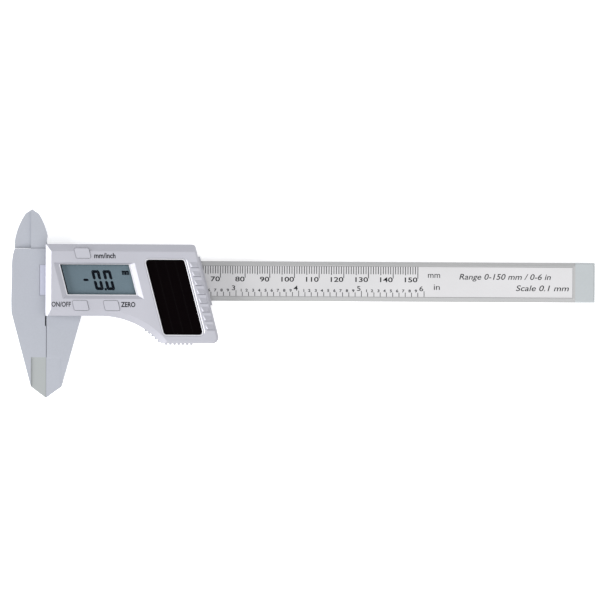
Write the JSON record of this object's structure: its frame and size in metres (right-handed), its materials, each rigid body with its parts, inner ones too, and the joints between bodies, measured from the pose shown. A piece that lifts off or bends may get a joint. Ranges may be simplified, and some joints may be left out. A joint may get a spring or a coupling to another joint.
{
  "type": "digital caliper",
  "caption": "Solar-powered plastic digital caliper, 0 to 150 mm, with outside and inside jaws, depth rod, display slider and printed beam scale.",
  "frame": {"origin": "middle of the bounding box in X and Y, at the outer face of the slider's back cover", "axes": "+X along the beam from the jaws to the end stop, +Y towards the inside blades, +Z out of the display"},
  "size_m": [0.2364, 0.0764, 0.0154],
  "materials": {
    "main_beam": "satin, fibre filled",
    "end_stop": "satin",
    "stator_strip": "glass-fibre board",
    "scale_label": "satin silver film",
    "slider_frame": "satin, fibre filled",
    "front_cover": "silver paint on plastic",
    "back_cover": "satin, fibre filled",
    "solar_cell": "black glass",
    "depth_rod": "satin, fibre filled",
    "cover_screws": "zinc plated",
    "display_lens": "clear",
    "lcd_glass": "grey blue",
    "lcd_reflector": "satin foil",
    "lcd_holder": "white",
    "zebra_strip": "layered silicone",
    "main_board": "green board",
    "controller_chip": "black resin",
    "crystal": "plated can",
    "chip_parts": "tan",
    "snap_domes": "spring steel",
    "storage_capacitor": "sleeved",
    "cell_leads": "tinned copper",
    "mm_inch_key": "silver grey",
    "on_off_key": "silver grey",
    "zero_key": "silver grey"
  },
  "bodies": {
    "beam": {"main_beam": "main_beam", "end_stop": "end_stop", "stator_strip": "stator_strip", "scale_label": "scale_label"},
    "slider": {"slider_frame": "slider_frame", "front_cover": "front_cover", "back_cover": "back_cover", "solar_cell": "solar_cell", "depth_rod": "depth_rod", "cover_screws": "cover_screws", "display_lens": "display_lens", "lcd_glass": "lcd_glass", "lcd_reflector": "lcd_reflector", "lcd_holder": "lcd_holder", "zebra_strip": "zebra_strip", "main_board": "main_board", "controller_chip": "controller_chip", "crystal": "crystal", "chip_parts": "chip_parts", "snap_domes": "snap_domes", "storage_capacitor": "storage_capacitor", "cell_leads": "cell_leads"},
    "mm_inch_button": {"mm_inch_key": "mm_inch_key"},
    "on_off_button": {"on_off_key": "on_off_key"},
    "zero_button": {"zero_key": "zero_key"}
  },
  "joints": [
    {"name": "jaw_slide", "type": "slide", "parent": "beam", "child": "slider", "axis": [1, 0, 0], "range_m": [0, 0.15]},
    {"name": "mm_inch_press", "type": "slide", "parent": "slider", "child": "mm_inch_button", "axis": [0, 0, -1], "range_m": [0, 0.0003], "stiffness_N_per_m": 1500},
    {"name": "on_off_press", "type": "slide", "parent": "slider", "child": "on_off_button", "axis": [0, 0, -1], "range_m": [0, 0.0003], "stiffness_N_per_m": 1500},
    {"name": "zero_press", "type": "slide", "parent": "slider", "child": "zero_button", "axis": [0, 0, -1], "range_m": [0, 0.0003], "stiffness_N_per_m": 1500}
  ]
}
